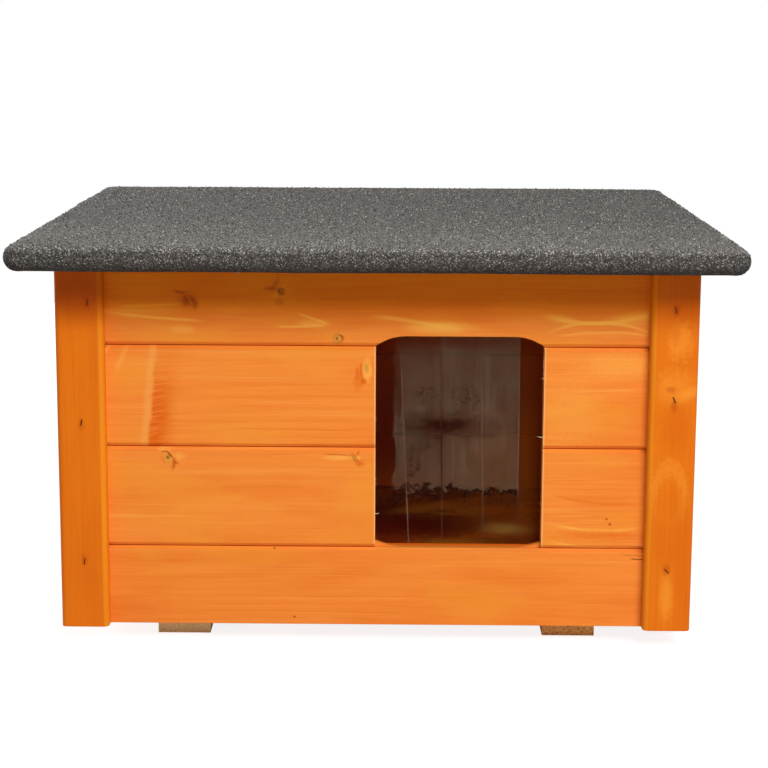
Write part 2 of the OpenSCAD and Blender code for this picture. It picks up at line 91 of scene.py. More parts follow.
# The grain's axes: along the board, across its face and into the wood
X, Y, Z = range(3)
LYING_X = (X, Z, Y)
LYING_Y = (Y, Z, X)
UPRIGHT_X = (Z, X, Y)
UPRIGHT_Y = (Z, Y, X)
ALONG_Y = (Y, X, Z)
ALONG_X = (X, Y, Z)
RING_GAP = 4.2 * MM
TRIM_RING_GAP = 5.5 * MM
RAW_RING_GAP = 3.4 * MM
FLOOR_RING_GAP = 30 * MM
# Width of the painted highlight along a trim's rounded edge
EDGE_HIGHLIGHT_WIDTH = 5.5 * MM
# Width of the painted highlight along the doorway's board ends
CUT_EDGE_HIGHLIGHT_WIDTH = 1.6 * MM


def srgb(red, green, blue):
    """A colour of 0 to 255 values as the linear one that a shader takes."""
    def channel(value):
        value /= 255
        return value / 12.92 if value <= 0.04045 else ((value + 0.055) / 1.055) ** 2.4
    return (channel(red), channel(green), channel(blue), 1.0)


class Graph:
    """A material's or world's nodes, made by short calls. An input takes a number, a colour or a socket."""

    def __init__(self, name, kind="Material"):
        self.kind = kind
        self.made = {"Material": bpy.data.materials, "World": bpy.data.worlds}[kind].new(name)
        self.made.use_nodes = True
        self.tree = self.made.node_tree
        self.tree.nodes.clear()
        if kind == "Material":
            self.place = self.node("TexCoord").outputs["Object"]
            self.x, self.y, self.z = self.node("SeparateXYZ", {0: self.place}).outputs

    def node(self, kind, inputs=None, **settings):
        made = self.tree.nodes.new("ShaderNode" + kind)
        for key, value in settings.items():
            setattr(made, key, value)
        for key, value in (inputs or {}).items():
            if isinstance(value, bpy.types.NodeSocket):
                self.tree.links.new(value, made.inputs[key])
            else:
                made.inputs[key].default_value = value
        return made

    def math(self, operation, *values):
        return self.node("Math", dict(enumerate(values)), operation=operation).outputs[0]

    def sum(self, *values):
        return reduce(lambda total, value: self.math("ADD", total, value), values)

    def times(self, *values):
        return reduce(lambda product, value: self.math("MULTIPLY", product, value), values)

    def minus(self, first, second):
        return self.math("SUBTRACT", first, second)

    def line(self, value, slope, offset):
        """The value times the slope, plus the offset."""
        return self.math("MULTIPLY_ADD", value, slope, offset)

    def length(self, across, up):
        return self.math("SQRT", self.sum(self.times(across, across), self.times(up, up)))

    def smooth(self, value, start, end):
        """0 before start, 1 after end; a start above the end turns it round."""
        return self.node("MapRange", {0: value, 1: start, 2: end},
                         interpolation_type="SMOOTHSTEP").outputs[0]

    def noise(self, scale, offset, detail=2.0, roughness=0.5):
        """Noise of 0 to 1 about 0.5; scale is one number for each axis, in waves per metre."""
        moved = self.node("VectorMath", {0: self.place, 1: scale, 2: (offset, offset * 0.7, offset * 0.4)},
                          operation="MULTIPLY_ADD").outputs[0]
        return self.node("TexNoise", {"Vector": moved, "Scale": 1.0, "Detail": detail,
                                      "Roughness": roughness}).outputs[0]

    def sway(self, scale, offset, **settings):
        """The same noise about 0."""
        return self.minus(self.noise(scale, offset, **settings), 0.5)

    def mix(self, factor, first, second, mode="MIX"):
        return self.node("Mix", {0: factor, 6: first, 7: second},
                         data_type="RGBA", blend_type=mode).outputs[2]

    def ramp(self, factor, *stops):
        """Stops are pairs of a place and a colour."""
        made = self.node("ValToRGB", {0: factor})
        elements = made.color_ramp.elements
        while len(elements) < len(stops):
            elements.new(0.5)
        for element, (place, colour) in zip(elements, stops):
            element.position = place
            element.color = colour
        return made.outputs[0]

    def bump(self, height, strength, distance, **others):
        return self.node("Bump", {"Strength": strength, "Distance": distance, "Height": height,
                                  **others}).outputs[0]

    def surface(self, colour, roughness, specular, **others):
        """Finishes a material with one shader."""
        return self.finish(self.node("BsdfPrincipled", {
            "Base Color": colour, "Roughness": roughness, "Specular IOR Level": specular,
            **others}).outputs[0])

    def finish(self, shader):
        self.node("Output" + self.kind, {"Surface": shader})
        return self.made


# Wood

class Pine:
    """One board's solid grain: growth rings about a pith that lies behind the face."""

    def __init__(self, name, axes, pith, seed, tones, ring_gap=RING_GAP):
        self.g = g = Graph(name)
        self.early, self.late_wood, self.pale = tones
        self.along, self.across, self.into = ((g.x, g.y, g.z)[axis] for axis in axes)
        g.place = g.node("CombineXYZ", {0: self.along, 1: self.across, 2: self.into}).outputs[0]
        self.seed = seed
        self.pith = pith
        self.ring_gap = ring_gap
        self.bends = []
        self.paints = []
        self.ragged = self.sway((260, 260, 260), 5)
        self.waver = self.sway((30, 30, 30), 8, detail=1.0)

    def noise(self, scale, step, **settings):
        """Noise in the grain's own axes, with a pattern for each step."""
        return self.g.noise(scale, self.seed * 3.7 + step * 11.3, **settings)

    def sway(self, scale, step, **settings):
        return self.g.minus(self.noise(scale, step, **settings), 0.5)

    def paint(self, amount, colour, mode="MIX"):
        """Lays a tone over those before it."""
        self.paints.append((amount, colour, mode))

    def cover(self, value, start, end, strength, colour):
        """Lays a tone on from where a value is at the start to where it is at the end."""
        self.paint(self.g.times(self.g.smooth(value, start, end), strength), colour)

    def distance(self, at, size, tilt=0.0, ragged=0.25):
        """Distance from a place on the face, in sizes; the outline is a little ragged."""
        g = self.g
        along, across = g.minus(self.along, at[0] * MM), g.minus(self.across, at[1] * MM)
        cos, sin = math.cos(math.radians(tilt)) / MM, math.sin(math.radians(tilt)) / MM
        u = g.sum(g.times(along, cos / size[0]), g.times(across, sin / size[0]))
        v = g.minus(g.times(across, cos / size[1]), g.times(along, sin / size[1]))
        return g.line(self.ragged, ragged * 2, g.length(u, v))

    def knot(self, at, size, tilt, dark):
        """A knot: the grain bends round it, and it has a red halo, a rim and a dark core."""
        g = self.g
        near = self.distance(at, size, tilt, ragged=0.3)
        swell = g.math("EXPONENT", g.times(near, near, -0.22))
        self.bends.append(g.times(swell, 0.7 * self.ring_gap))
        self.cover(near, 2.4, 0.9, 0.4, KNOT_HALO)
        self.cover(near, 1.2, 0.7, 0.7, KNOT_BODY)
        rim = g.times(g.smooth(near, 1.3, 0.95), g.smooth(near, 0.5, 0.95))
        broken = g.smooth(self.noise((150, 150, 150), 10, detail=3.0), 0.46, 0.6)
        self.paint(g.times(rim, broken, dark), KNOT_RIM)
        self.cover(near, 0.45, 0.1, dark, KNOT_CORE)

    def vein(self, first, middle, last, width, strength, colour, upright=False):
        """A thin line of the grain through three places; an upright one runs across the board."""
        g = self.g
        run, rise = (1, 0) if upright else (0, 1)
        u0, u1, u2 = (place[run] * MM for place in (first, middle, last))
        v0, v1, v2 = (place[rise] * MM for place in (first, middle, last))
        slope = (v1 - v0) / (u1 - u0)
        curve = ((v2 - v1) / (u2 - u1) - slope) / (u2 - u0)
        along, across = (self.across, self.along) if upright else (self.along, self.across)
        u = g.minus(along, u0)
        line = g.line(g.times(u, g.minus(along, u1)), curve, g.line(u, slope, v0))
        line = g.line(self.waver, 2 * MM, line)
        away = g.math("ABSOLUTE", g.minus(across, line))
        fade = abs(u2 - u0) * 0.25
        low, high = min(u0, u2), max(u0, u2)
        ends = g.times(g.smooth(along, low, low + fade), g.smooth(along, high, high - fade))
        self.paint(g.times(g.smooth(away, width * MM, 0.2 * width * MM), ends, strength), colour)

    def arch(self, at, size, strength, colour):
        """The open top of a flame of the grain."""
        g = self.g
        near = self.distance(at, size, ragged=0.35)
        rim = g.times(g.smooth(near, 1.4, 1.02), g.smooth(near, 0.5, 0.95))
        upper = g.smooth(self.along, (at[0] - 1.2 * size[0]) * MM, (at[0] + 0.6 * size[0]) * MM)
        self.paint(g.times(rim, upper, strength), colour)

    def spot(self, at, size, colour, strength, tilt=0.0, soft=1.6, ragged=0.25):
        """A spot or streak where the stain or the wood is of another tone."""
        self.cover(self.distance(at, size, tilt, ragged), soft, 0.3, strength, colour)

    def ripple(self, at, lean, height):
        """A band across the board where the grain dips: pale on one side, combed dark on the other."""
        g = self.g
        rise = g.minus(self.across, at[1] * MM)
        u = g.line(rise, -lean, g.minus(self.along, at[0] * MM))
        u = g.line(self.sway((30, 50, 30), 16, detail=3.0), 8 * MM, u)
        straight, slant = g.place, g.line(self.along, -0.2, self.across)
        g.place = g.node("CombineXYZ", {0: self.along, 1: slant, 2: self.into}).outputs[0]
        comb = g.noise((45, 540, 30), 9.0, detail=3.0)
        g.place = straight
        teeth = g.line(g.minus(comb, 0.5), 24 * MM, u)
        low = g.smooth(rise, height * MM, -0.3 * height * MM)
        dark = g.times(g.smooth(u, -1.5 * MM, 3 * MM), g.smooth(teeth, 27 * MM, 9 * MM),
                       g.line(low, 0.7, 0.12), g.line(g.smooth(comb, 0.3, 0.6), 0.75, 0.35))
        self.paint(dark, RIPPLE_DARK)
        pale = g.times(g.smooth(u, -8 * MM, -3 * MM), g.smooth(u, 2.5 * MM, -1.5 * MM))
        self.paint(g.times(pale, 0.45), RIPPLE_PALE)

    def edge_highlight(self, at):
        """Paler wood along a long edge: a painted highlight on its rounded edge."""
        g = self.g
        away = g.math("ABSOLUTE", g.minus(self.across, at))
        patchy = g.line(self.noise((9, 60, 60), 12), 0.9, 0.5)
        self.paint(g.times(g.smooth(away, EDGE_HIGHLIGHT_WIDTH, 0.55 * EDGE_HIGHLIGHT_WIDTH), patchy, 0.6), self.pale)

    def cut_edge_highlight(self, at):
        """Paler wood at a board's end by the doorway: a painted highlight."""
        g = self.g
        away = g.math("ABSOLUTE", g.minus(self.along, at))
        patchy = g.line(self.noise((60, 14, 60), 18), 1.2, 0.3)
        self.paint(g.times(g.smooth(away, CUT_EDGE_HIGHLIGHT_WIDTH, 0.4 * CUT_EDGE_HIGHLIGHT_WIDTH), patchy, 0.7), CUT_EDGE_HIGHLIGHT)

    def ochre(self):
        """Broad yellower patches, where the wood took less of the red in the stain."""
        self.cover(self.noise((8, 20, 20), 19, detail=4.0), 0.5, 0.66, 0.5, OCHRE)

    def pools(self):
        """Uneven stain on a flat panel: dark pools and lighter runs along the grain."""
        pool = self.noise((11, 8, 8), 14, detail=5.0, roughness=0.6)
        run = self.noise((8, 17, 17), 15, detail=5.0, roughness=0.6)
        self.cover(pool, 0.42, 0.56, 0.85, self.late_wood)
        self.cover(run, 0.54, 0.64, 0.6, self.pale)

    def inner_face(self, start, end):
        """A redder stain on the side of the board that faces the room, between two depths."""
        self.cover(self.into, start, end, 0.9, INNER_STAIN)

    def eave_shade(self, height):
        """Painted shade high on a wall, under the eaves: a deeper stain colour."""
        self.paint(self.g.smooth(height, *EAVE_SHADE_FROM), EAVE_SHADE, "MULTIPLY")

    def flecks(self, dark):
        """Light and dark flecks of sawn end grain."""
        fleck = self.noise((520, 520, 520), 17, detail=3.0, roughness=0.7)
        self.cover(fleck, 0.52, 0.62, 0.8, self.pale)
        self.cover(fleck, 0.47, 0.38, dark, FLECK_DARK)

    def rings(self):
        """How late the wood is in its year's ring, from 0 to 1, and the fine fibres."""
        g = self.g
        drift = self.sway((1.8, 5, 5), 1, detail=1.0)
        across = g.line(drift, 60 * MM, g.minus(self.across, self.pith[0]))
        into = g.minus(self.into, self.pith[1])
        radius = g.sum(g.length(across, into), *self.bends)
        wave = self.noise((5, 60, 60), 2, detail=3.0)
        year = g.math("FRACT", g.line(wave, 1.4, g.math("DIVIDE", radius, self.ring_gap)))
        late = g.times(g.smooth(year, 0.1, 0.85), g.smooth(year, 1.0, 0.9))
        fibres = self.noise((14, 1100, 1100), 3, detail=4.0, roughness=0.65)
        return late, fibres

    def coloured(self, late, contrast, *coats):
        """The rings' colour under coats, each by value, start, end, strength and tone, and the paints."""
        g = self.g
        colour = g.mix(g.times(late, contrast), self.early, self.late_wood)
        for value, start, end, strength, tone in coats:
            colour = g.mix(g.times(g.smooth(value, start, end), strength), colour, tone)
        for amount, tone, mode in self.paints:
            colour = g.mix(amount, colour, tone, mode)
        return colour

    def stained(self, contrast=0.16, mottling=0.45, banding=0.3):
        """The stained and satin varnished finish."""
        g = self.g
        late, fibres = self.rings()
        mottle = self.noise((7, 22, 22), 4, detail=4.0)
        bands = self.noise((3, 330, 330), 6, detail=3.0, roughness=0.6)
        dashes = self.noise((70, 800, 800), 13, detail=2.0)
        colour = self.coloured(late, contrast, (bands, 0.5, 0.7, banding, self.pale),
                               (mottle, 0.42, 0.72, mottling, self.late_wood),
                               (fibres, 0.45, 0.7, 0.35, self.late_wood),
                               (dashes, 0.66, 0.78, 0.4, KNOT_HALO))
        height = g.sum(g.times(fibres, 0.6), g.times(late, 0.3))
        edge = g.node("Bevel", {"Radius": 0.7 * MM}, samples=4).outputs[0]
        bump = g.bump(height, 0.3, 0.2 * MM, Normal=edge)
        return g.surface(colour, g.line(mottle, 0.16, 0.42), 0.1, Normal=bump)

    def raw(self, contrast=0.6, grey=0.3):
        """Sawn, bare wood."""
        g = self.g
        late, fibres = self.rings()
        mottle = self.noise((12, 30, 30), 4, detail=3.0)
        saw = self.noise((420, 60, 60), 7, detail=2.0)
        colour = self.coloured(late, contrast, (fibres, 0.45, 0.8, 0.5, self.late_wood),
                               (mottle, 0.4, 0.8, grey, RAW_GREY))
        height = g.sum(g.times(fibres, 0.8), g.times(saw, 0.5))
        return g.surface(colour, 0.82, 0.1, Normal=g.bump(height, 0.5, 0.4 * MM))


# Tones: early wood, late wood and pale figure
BOARD_TONES = srgb(242, 140, 54), srgb(224, 104, 20), srgb(248, 168, 84)
TRIM_TONES = srgb(228, 116, 12), srgb(210, 94, 4), srgb(238, 148, 30)
RAW_TONES = srgb(250, 206, 148), srgb(206, 146, 88), srgb(250, 214, 168)
# The left skid's tones are paler: painted light on the left foot
LEFT_SKID_LIT_TONES = srgb(255, 240, 178), srgb(252, 214, 146), srgb(255, 244, 200)
RIGHT_SKID_TONES = srgb(255, 210, 124), srgb(222, 150, 72), srgb(255, 220, 150)
FLOOR_TONES = srgb(236, 118, 18), srgb(140, 48, 4), srgb(252, 164, 52)
# Painted shade on the floor
FLOOR_SHADE = srgb(116, 18, 3)
FIBRE_TONES = srgb(240, 222, 192), srgb(216, 180, 132), srgb(246, 236, 214)
RAW_GREY = srgb(176, 124, 74)
INNER_STAIN = srgb(242, 106, 8)
STAPLE_STAIN = srgb(176, 64, 2)
KNOT_BODY = srgb(218, 150, 54)
KNOT_HALO = srgb(222, 98, 14)
KNOT_RIM = srgb(136, 64, 4)
KNOT_CORE = srgb(92, 44, 4)
RIPPLE_DARK = srgb(220, 92, 2)
RIPPLE_PALE = srgb(240, 166, 82)
FLAME = srgb(250, 178, 76)
TRIM_FLAME = srgb(244, 150, 46)
# A whorl's red-brown, also used as painted shade on the left trim
WHORL_AND_SHADE = srgb(160, 50, 0)
FLECK_DARK = srgb(166, 108, 52)
# Painted highlight at the doorway's board ends
CUT_EDGE_HIGHLIGHT = srgb(255, 196, 124)
OCHRE = srgb(240, 150, 48)
ZINC = srgb(196, 198, 200)
STAPLE = srgb(104, 50, 22)
RUST = srgb(104, 60, 30)
# How much brighter the felt is made towards the roof's front
FRONT_LIGHTENING = (2.3, 2.3, 2.3, 1.0)
# Painted shade under the eaves: what the stain keeps of each colour, and the heights between which it sets in
EAVE_SHADE = (0.95, 0.77, 0.06, 1.0)
EAVE_SHADE_FROM = (283 * MM, 312 * MM)


def extent(node, axes):
    """Where a node starts and ends along its grain, across its face and into the wood."""
    low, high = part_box(node)
    return [(low[axis], high[axis]) for axis in axes]


def start_pine(node, axes, seed, tones, ring_gap=RING_GAP):
    """A board's grain, with its pith at a seeded place behind its outer face."""
    chance = random.Random(seed)
    across, into = (sum(ends) / 2 for ends in extent(node, axes)[1:])
    outwards = 1 if into > 0 else -1
    pith = (across + chance.uniform(-0.03, 0.03), into - outwards * chance.uniform(0.03, 0.08))
    return Pine("wood_" + node, axes, pith, seed, tones, ring_gap)


def wear(node, material):
    """Gives a CAD node its material."""
    slots = nodes[node].data.materials
    slots.clear()
    slots.append(material)


def top_board_figure(pine):
    """The top board's knots, and the flames of its grain."""
    spot, vein = pine.spot, pine.vein
    spot((-163, 310), (9, 6.5), WHORL_AND_SHADE, 0.35, ragged=0.4)
    spot((-164, 309), (3.6, 4.0), WHORL_AND_SHADE, 0.6, tilt=15, ragged=0.5)
    spot((-157.6, 307), (2.4, 5.6), WHORL_AND_SHADE, 0.55, tilt=14, ragged=0.5)
    spot((-170, 316.5), (5.0, 1.6), WHORL_AND_SHADE, 0.55, tilt=-8, ragged=0.5)
    spot((-160.6, 308.5), (0.8, 4.6), FLAME, 0.25, tilt=32)
    spot((-92, 320), (5.2, 2.2), WHORL_AND_SHADE, 0.5, ragged=0.7)
    spot((-87, 325), (2.4, 6.5), WHORL_AND_SHADE, 0.32, tilt=-24, ragged=0.7)
    spot((-84, 308.5), (4, 2.6), WHORL_AND_SHADE, 0.3, ragged=0.5)
    spot((-79.5, 324), (1.0, 5.5), FLAME, 0.3, tilt=-35)
    spot((-87.2, 314), (3, 1.6), FLAME, 0.5, tilt=20)
    spot((-82.6, 317.6), (3.6, 3.8), KNOT_CORE, 0.85, tilt=-20, ragged=0.6, soft=1.3)
    spot((-82.6, 317.8), (1.2, 1.5), KNOT_BODY, 0.6, ragged=0.4)
    spot((-33.8, 276.2), (5.2, 5.4), KNOT_RIM, 0.5, ragged=0.5, soft=1.2)
    spot((-34.6, 276.2), (3.5, 4.0), KNOT_BODY, 0.85, ragged=0.5, soft=1.15)
    spot((-30.8, 278.8), (2.6, 1.0), KNOT_CORE, 0.55, tilt=-35, ragged=0.4)
    spot((-29.4, 275.8), (1.2, 1.8), RIPPLE_DARK, 0.6)
    spot((-34.4, 276.6), (1.2, 1.5), KNOT_CORE, 0.85, tilt=15, soft=1.3)
    spot((-32.2, 276.6), (0.9, 2.0), FLAME, 0.5)
    vein((-240, 299.5), (-185, 293.5), (-142, 290.8), 2.0, 0.6, FLAME)
    vein((-224, 304.4), (-195, 305), (-164, 306.8), 1.6, 0.45, FLAME)
    spot((-206, 300), (26, 4.5), FLAME, 0.3, ragged=0.5)
    spot((-168, 284), (9, 3.5), FLAME, 0.4, ragged=0.6)
    vein((-70, 299), (-53, 293), (-40, 288.6), 1.8, 0.65, FLAME)
    vein((-92, 287), (-62, 287.4), (-40, 288.4), 1.7, 0.55, FLAME)
    spot((-56, 290), (13, 3.4), FLAME, 0.45)
    vein((-10, 297.5), (34, 291.4), (76, 285), 2.6, 0.6, FLAME)
    spot((54, 287), (25, 4.6), FLAME, 0.7)
    vein((140, 299), (182, 291.5), (244, 303), 2.6, 0.65, FLAME)
    vein((142, 281), (188, 292), (244, 280), 2.2, 0.6, FLAME)
    vein((146, 277.5), (194, 283.5), (244, 279.5), 1.8, 0.45, FLAME)
    spot((222, 296.5), (22, 4.5), FLAME, 0.55, tilt=9)
    spot((158, 295), (13, 3.4), FLAME, 0.5, tilt=-10)


def board_features(node, pine):
    """Knots, ripples and marks that the photo shows on the front boards."""
    spot, vein = pine.spot, pine.vein
    if node == "front_board_4":
        top_board_figure(pine)
    elif node == "front_board_3_left":
        pine.ripple((-195.5, 226), 0.11, 40)
        spot((-8.2, 248.5), (4.6, 11), FLAME, 0.7, ragged=0.4, soft=1.3)
        spot((-8.9, 251), (1.8, 3.8), FLECK_DARK, 0.5, ragged=0.5)
        spot((-8.6, 250.6), (1.0, 2.4), KNOT_BODY, 0.7)
        vein((-13.2, 257), (-13.9, 248), (-12.0, 239), 1.5, 0.75, RIPPLE_DARK, upright=True)
        spot((-11.4, 239), (2.2, 2.4), RIPPLE_DARK, 0.9, ragged=0.7)
        spot((-17, 246.5), (1.9, 5), RIPPLE_DARK, 0.55, ragged=0.6)
        spot((-16, 238), (4, 7), RIPPLE_DARK, 0.35, ragged=0.6)
        spot((-236, 262), (1.8, 12), FLAME, 0.4, tilt=-32)
        spot((-221, 258), (2.4, 14), FLAME, 0.3, tilt=-24)
    elif node == "front_board_2_left":
        spot((-185, 177.4), (6, 1.7), FLAME, 0.5)
        spot((-173, 171), (5, 3.2), FLAME, 0.45)
        spot((-182, 168.2), (3.6, 7.2), KNOT_BODY, 0.85, tilt=18, ragged=0.5, soft=1.2)
        vein((-188.6, 171.6), (-185.8, 167), (-183.6, 162.6), 2.4, 0.5, KNOT_HALO)
        vein((-188.8, 174.8), (-185.5, 175.6), (-181.8, 175.2), 1.1, 0.6, KNOT_RIM)
        spot((-180.2, 172.4), (4.4, 0.9), KNOT_RIM, 0.9, tilt=-48, ragged=0.4)
        spot((-177, 164.4), (1.6, 5.6), STAPLE_STAIN, 0.6, tilt=-8, ragged=0.5)
        spot((-175.4, 165.6), (3.2, 1.2), STAPLE_STAIN, 0.5, tilt=-28, ragged=0.4)
        spot((-182.3, 170.2), (1.5, 1.7), KNOT_CORE, 0.7, soft=1.4, ragged=0.5)
        vein((-47, 173.8), (-33, 173.6), (-19, 173), 1.0, 0.45, KNOT_RIM)
        spot((-32, 170.6), (14, 2.2), FLAME, 0.6)
        spot((-18.4, 169.9), (1.9, 5.2), KNOT_RIM, 0.55, tilt=35, ragged=0.5)
        spot((-18.6, 170.4), (0.9, 3.2), KNOT_BODY, 0.6, tilt=35)
        spot((-15.4, 171), (1.7, 1.5), FLAME, 0.6)
        spot((-16.1, 175), (1.2, 1.7), RIPPLE_DARK, 0.85, tilt=-20)
        spot((-14, 165.6), (3.4, 3), RIPPLE_DARK, 0.6, ragged=0.7)
    elif node == "front_board_2_right":
        spot((202, 117), (1.5, 1.4), STAPLE_STAIN, 0.8, soft=1.2)
        spot((205, 112.5), (1.7, 1.6), STAPLE_STAIN, 0.8, soft=1.2)
        vein((147, 113), (176, 108), (236, 110), 2.2, 0.6, FLAME)
        vein((147, 97), (185, 91), (236, 92), 2.6, 0.6, FLAME)
        vein((147, 141), (180, 133), (236, 133), 1.6, 0.45, pine.late_wood)
        spot((196, 102), (40, 5), RIPPLE_DARK, 0.35, ragged=0.5)
    elif node == "front_board_3_right":
        spot((214, 254), (34, 11), FLAME, 0.35, ragged=0.5)
        spot((166, 212), (26, 24), FLAME, 0.3, ragged=0.6)
    elif node == "front_board_1":
        vein((222, 81.4), (231, 80.8), (242, 80.4), 0.7, 0.9, KNOT_CORE)
        vein((214, 85.2), (228, 84.2), (242, 83.4), 0.5, 0.5, KNOT_RIM)
        spot((-89.5, 88), (1.2, 1.0), KNOT_CORE, 0.7, soft=1.2)
        spot((-72, 25.6), (1.2, 1.2), KNOT_CORE, 0.8, soft=1.2)


def paint_cut_edge_highlights(node, pine):
    """Paints a pale highlight along the doorway's sides."""
    low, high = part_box(node)
    if node.endswith("_left"):
        pine.cut_edge_highlight(high.x)
    elif node.endswith("_right"):
        pine.cut_edge_highlight(low.x)


def right_trim_figure(pine):
    """Closed and open flames down the right front trim."""
    spot = pine.spot
    spot((278, 260), (19, 12.5), TRIM_FLAME, 0.55, ragged=0.5, soft=1.25)
    spot((284, 256), (9, 3.5), pine.late_wood, 0.4, ragged=0.8)
    spot((238, 257), (15, 15), TRIM_FLAME, 0.45, ragged=0.6)
    spot((231, 266), (4.5, 13), TRIM_FLAME, 0.6, tilt=-28, ragged=0.5)
    spot((236, 253.5), (3.2, 6), STAPLE_STAIN, 0.4, ragged=0.6, soft=1.3)
    spot((205, 258), (22, 12), pine.late_wood, 0.45, ragged=0.5)
    pine.arch((140, 254), (27, 14), 0.4, TRIM_FLAME)
    spot((50, 254.5), (21, 5.5), TRIM_FLAME, 0.65, ragged=0.5)
    for place in ((305, 255.5), (222, 256.5), (75, 254)):
        spot(place, (5, 3), STAPLE_STAIN, 0.5, ragged=0.6)


def random_veins(node, axes, pine, chance):
    """A few faint lines of the grain at seeded places."""
    along, across = extent(node, axes)[:2]
    for _ in range(chance.randint(3, 5)):
        start = chance.uniform(*along) / MM
        length = chance.uniform(0.3, 0.8) * (along[1] - along[0]) / MM
        level = chance.uniform(across[0] + 0.006, across[1] - 0.006) / MM
        turn = chance.uniform(-3, 3)
        pine.vein((start - length / 2, level), (start, level + turn * 0.7),
                  (start + length / 2, level + turn), chance.uniform(0.6, 1.3), chance.uniform(0.2, 0.45),
                  chance.choice((pine.pale, pine.late_wood)))


def random_knots(node, axes, pine, chance):
    """A knot or two at seeded places on a board that the photo doesn't show."""
    along, across = extent(node, axes)[:2]
    for _ in range(chance.randint(1, 2)):
        at = (chance.uniform(along[0] + 0.03, along[1] - 0.03) / MM,
              chance.uniform(across[0] + 0.015, across[1] - 0.02) / MM)
        size = chance.uniform(2.5, 5.5)
        pine.knot(at, (size, size * chance.uniform(0.8, 1.3)), chance.uniform(-40, 40),
                  chance.uniform(0.5, 0.9))


def stain_inside(node, axes, pine):
    """Stains the half of a wall board that faces the room."""
    start, end = extent(node, axes)[2]
    middle = (start + end) / 2
    inwards = 1 if middle < 0 else -1
    pine.inner_face(middle, middle + 0.3 * (end - start) * inwards)


def dress_boards():
    """Stained wall boards, trims and hinge rail."""
    for seed, node in enumerate(sorted(nodes)):
        chance = random.Random(1000 + seed)
        if "_board_" in node:
            axes = LYING_Y if node.startswith(("left", "right")) else LYING_X
            pine = start_pine(node, axes, seed, BOARD_TONES)
            pine.ochre()
            random_veins(node, axes, pine, chance)
            if node.startswith("front"):
                board_features(node, pine)
                # Painted highlight along the doorway's sides
                paint_cut_edge_highlights(node, pine)
            else:
                random_knots(node, axes, pine, chance)
            # Painted shade under the eaves on each wall's top board
            if node.endswith("_4"):
                pine.eave_shade(pine.across)
            stain_inside(node, axes, pine)
            wear(node, pine.stained())
        elif "trim_" in node and node != "trim_staples":
            axes = UPRIGHT_Y if node.startswith("side") else UPRIGHT_X
            pine = start_pine(node, axes, seed, TRIM_TONES, ring_gap=TRIM_RING_GAP)
            # Painted highlight along the trim's inner rounded edge
            pine.edge_highlight(min(extent(node, axes)[1], key=abs))
            if node == "front_trim_right":
                right_trim_figure(pine)
            elif node == "front_trim_left":
                for place in ((308, -248), (201, -255.5), (81, -255.5)):
                    pine.spot(place, (5, 2.6), STAPLE_STAIN, 0.4, ragged=0.6)
                # Painted shade at the top of the left trim, under the eaves
                pine.spot((318, -256), (24, 30), WHORL_AND_SHADE, 0.4)
            # Painted shade under the eaves at the trim's top
            pine.eave_shade(pine.along)
            wear(node, pine.stained(contrast=0.13, mottling=0.4, banding=0.13))
        elif node == "hinge_rail":
            wear(node, start_pine(node, LYING_X, seed, TRIM_TONES).stained())


def dress_raw_wood():
    """Bare wood: skids, posts, battens, cleats and the roof deck. The floor is stained."""
    axes_of = {"skid": ALONG_Y, "post": UPRIGHT_X, "door": UPRIGHT_X, "clamp": LYING_X, "roof": ALONG_Y}
    bare = ("skid_left", "skid_right", "post_front_left", "post_front_right", "post_back_left",
            "post_back_right", "door_batten_left", "door_batten_right", "clamp_batten",
            "roof_cleat_left", "roof_cleat_right", "roof_deck")
    skid_tones = {"skid_left": LEFT_SKID_LIT_TONES, "skid_right": RIGHT_SKID_TONES}
    for seed, node in enumerate(bare):
        skid = node.startswith("skid")
        tones = skid_tones.get(node, RAW_TONES)
        pine = start_pine(node, axes_of[node.split("_")[0]], 50 + seed, tones, ring_gap=RAW_RING_GAP)
        # Weaker dark flecks on the left skid, for a paler foot: painted light
        if skid:
            pine.flecks(0.35 if node == "skid_left" else 0.7)
        wear(node, pine.raw(contrast=0.3, grey=0.0) if skid else pine.raw())
    floor = start_pine("floor_panel", ALONG_X, 71, FLOOR_TONES, ring_gap=FLOOR_RING_GAP)
    floor.pools()
    # Painted shade: dark patches on the floor towards the doorway's left
    floor.spot((6, 84), (40, 96), FLOOR_SHADE, 1.0, ragged=0.5)
    floor.spot((52, 66), (78, 32), FLOOR_SHADE, 1.0, ragged=0.6)
    # Painted light: pale patches where light falls on the floor
    floor.spot((66, 144), (52, 15), floor.pale, 0.75, tilt=30, ragged=0.6)
    floor.spot((116, 128), (36, 26), floor.pale, 0.95, ragged=0.7)
    floor.spot((82, 6), (36, 15), floor.pale, 0.5, ragged=0.6)
    floor.spot((145, 62), (30, 60), floor.pale, 0.75, ragged=0.6)
    wear("floor_panel", floor.stained(contrast=0.25, mottling=0.3))


# Metal

def steel(name, tone, rust):
    """Zinc-plated steel with a patchy bloom and fine scratches."""
    g = Graph(name)
    bloom = g.noise((220, 220, 220), 1.0, detail=4.0)
    scratch = g.noise((90, 2600, 2600), 2.0, detail=2.0)
    dimmed = tuple(0.6 * channel for channel in tone[:3]) + (1.0,)
    colour = g.mix(g.smooth(bloom, 0.35, 0.7), tone, dimmed)
    colour = g.mix(g.times(g.smooth(bloom, 0.62, 0.72), rust), colour, RUST)
    bump = g.bump(scratch, 0.15, 0.1 * MM)
    return g.surface(colour, g.line(bloom, 0.35, 0.2), 0.5, Metallic=1.0, Normal=bump)


def dress_metal():
    """Bright screws, nails and hinges, and dull staples."""
    bright = steel("zinc_steel", ZINC, 0.15)
    dull = steel("staple_wire", STAPLE, 0.8)
    for node in nodes:
        if node == "trim_staples":
            wear(node, dull)
        elif node.endswith(("_screws", "_nails", "_leaves", "_pins")):
            wear(node, bright)


# Roofing felt

